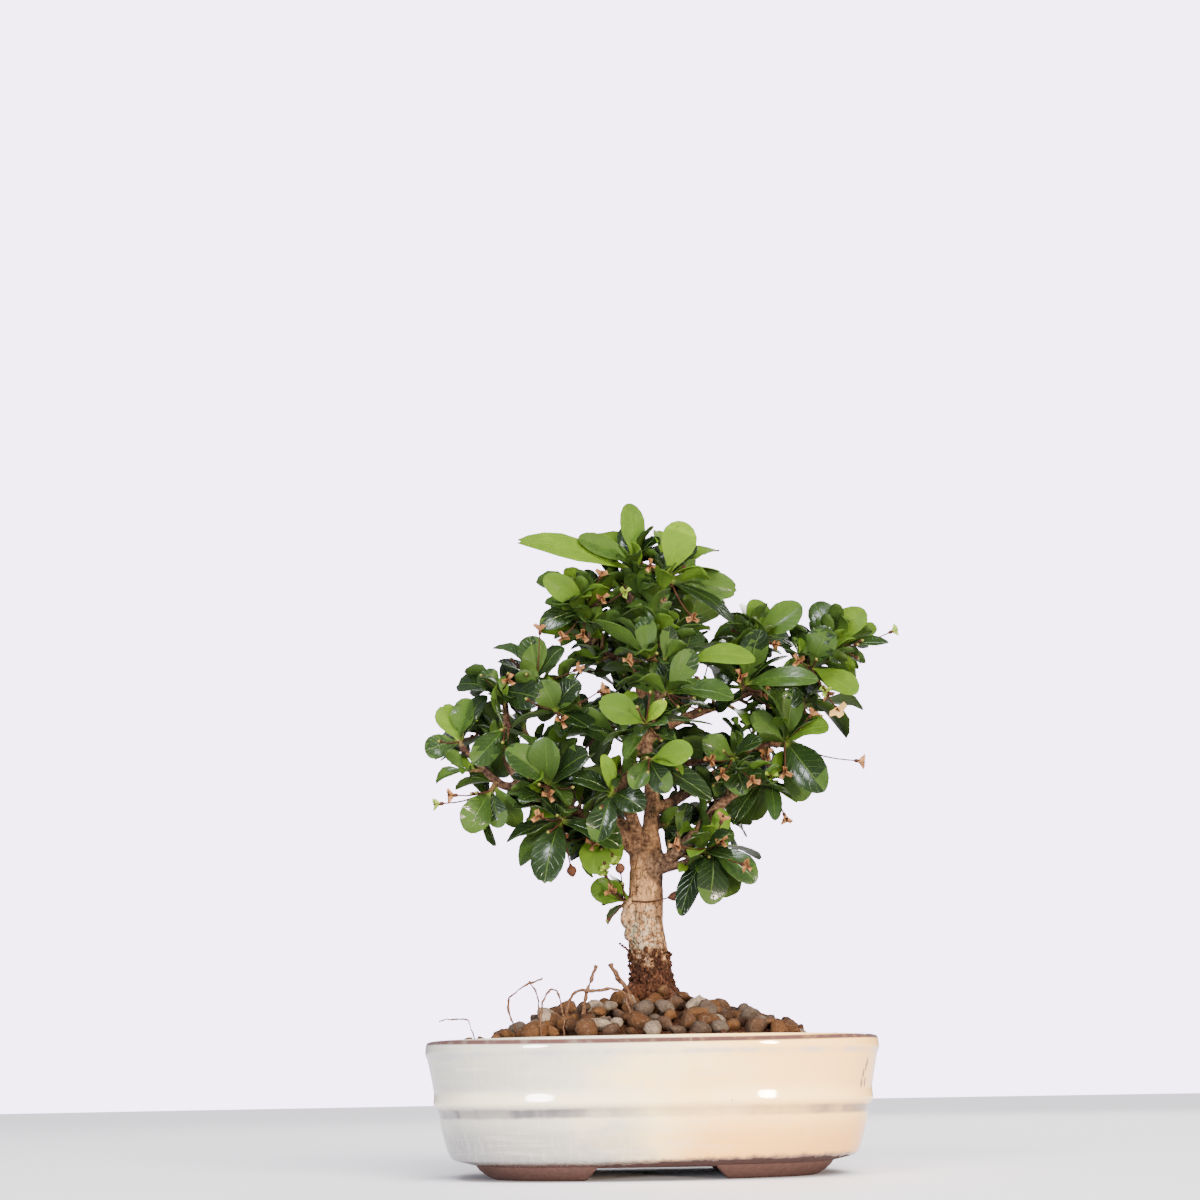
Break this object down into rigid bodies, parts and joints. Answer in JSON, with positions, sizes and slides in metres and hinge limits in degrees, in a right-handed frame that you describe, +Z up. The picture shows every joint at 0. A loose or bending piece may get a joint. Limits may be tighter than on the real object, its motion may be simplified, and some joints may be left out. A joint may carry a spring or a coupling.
{
  "type": "fukien tea bonsai",
  "caption": "Small leafy tree with an upright bare trunk and an open crown of glossy spoon-shaped leaves, growing from mounded gravel in an oval glazed pot on four feet.",
  "frame": {"origin": "on the table top, under the middle of the whole part's box", "axes": "+Z up, -Y towards the front that the tree shows, +X to the right along the pot's length"},
  "size_m": [0.2216, 0.1616, 0.307],
  "materials": {
    "glaze": "gloss",
    "soil": "matte",
    "gravel": "matte",
    "bark": "matte",
    "dead_root": "matte",
    "leaf": "satin",
    "screen": "matte"
  },
  "bodies": {
    "root": {"drain_screen_left": "screen", "drain_screen_right": "screen", "gravel": "gravel", "pot": "glaze", "root_arch": "dead_root", "root_bar": "dead_root", "root_hook": "dead_root", "root_peg": "dead_root", "root_stub": "dead_root", "root_whisker": "dead_root", "root_wire": "dead_root", "soil": "soil", "spray_back_left_low": "leaf", "spray_back_left_mid": "leaf", "spray_back_left_tip": "leaf", "spray_back_middle_left": "leaf", "spray_back_middle_right": "leaf", "spray_back_middle_tip": "leaf", "spray_back_right_low": "leaf", "spray_back_right_mid": "leaf", "spray_back_right_tip": "leaf", "spray_back_upper_left": "leaf", "spray_back_upper_right": "leaf", "spray_back_upper_tip": "leaf", "spray_front_arch": "leaf", "spray_front_heart": "leaf", "spray_front_high": "leaf", "spray_front_light": "leaf", "spray_front_low": "leaf", "spray_front_mid": "leaf", "spray_inner": "leaf", "spray_left_arch": "leaf", "spray_left_far": "leaf", "spray_left_hang": "leaf", "spray_left_heart": "leaf", "spray_left_tip": "leaf", "spray_left_top": "leaf", "spray_left_up": "leaf", "spray_left_wedge": "leaf", "spray_low_left": "leaf", "spray_low_middle": "leaf", "spray_right_drop": "leaf", "spray_right_far": "leaf", "spray_right_front": "leaf", "spray_right_inner": "leaf", "spray_right_low": "leaf", "spray_right_mid": "leaf", "spray_right_peak": "leaf", "spray_right_under": "leaf", "spray_side_left": "leaf", "spray_side_right": "leaf", "spray_top": "leaf", "spray_top_right": "leaf", "spray_trunk_left": "leaf", "spray_trunk_right": "leaf", "trunk_and_branches": "bark"}
  },
  "joints": []
}
